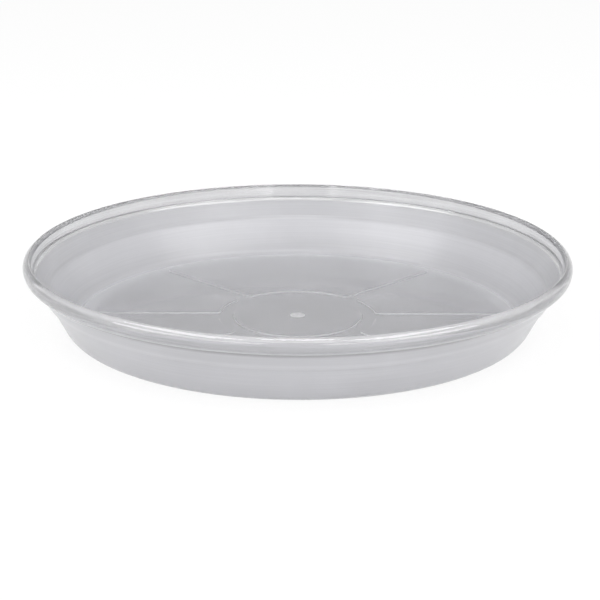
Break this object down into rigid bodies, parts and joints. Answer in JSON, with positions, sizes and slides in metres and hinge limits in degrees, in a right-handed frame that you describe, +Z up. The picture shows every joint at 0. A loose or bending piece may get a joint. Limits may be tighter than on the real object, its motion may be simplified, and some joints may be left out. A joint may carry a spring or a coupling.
{
  "type": "plant saucer",
  "caption": "Round clear plastic saucer that stands under a plant pot and holds the water that drains, with a stepped flared side, a thick rounded rim and drainage channels in its floor.",
  "frame": {"origin": "centre of the underside, on the surface that the saucer stands on", "axes": "+Z up through the middle of the saucer; the two straight channels in line run along X"},
  "size_m": [0.28, 0.28, 0.0379],
  "materials": {
    "clear_plastic": "clear moulded plastic: glassy rim, slightly hazy side and floor"
  },
  "bodies": {
    "root": {"saucer": "clear_plastic"}
  },
  "joints": []
}
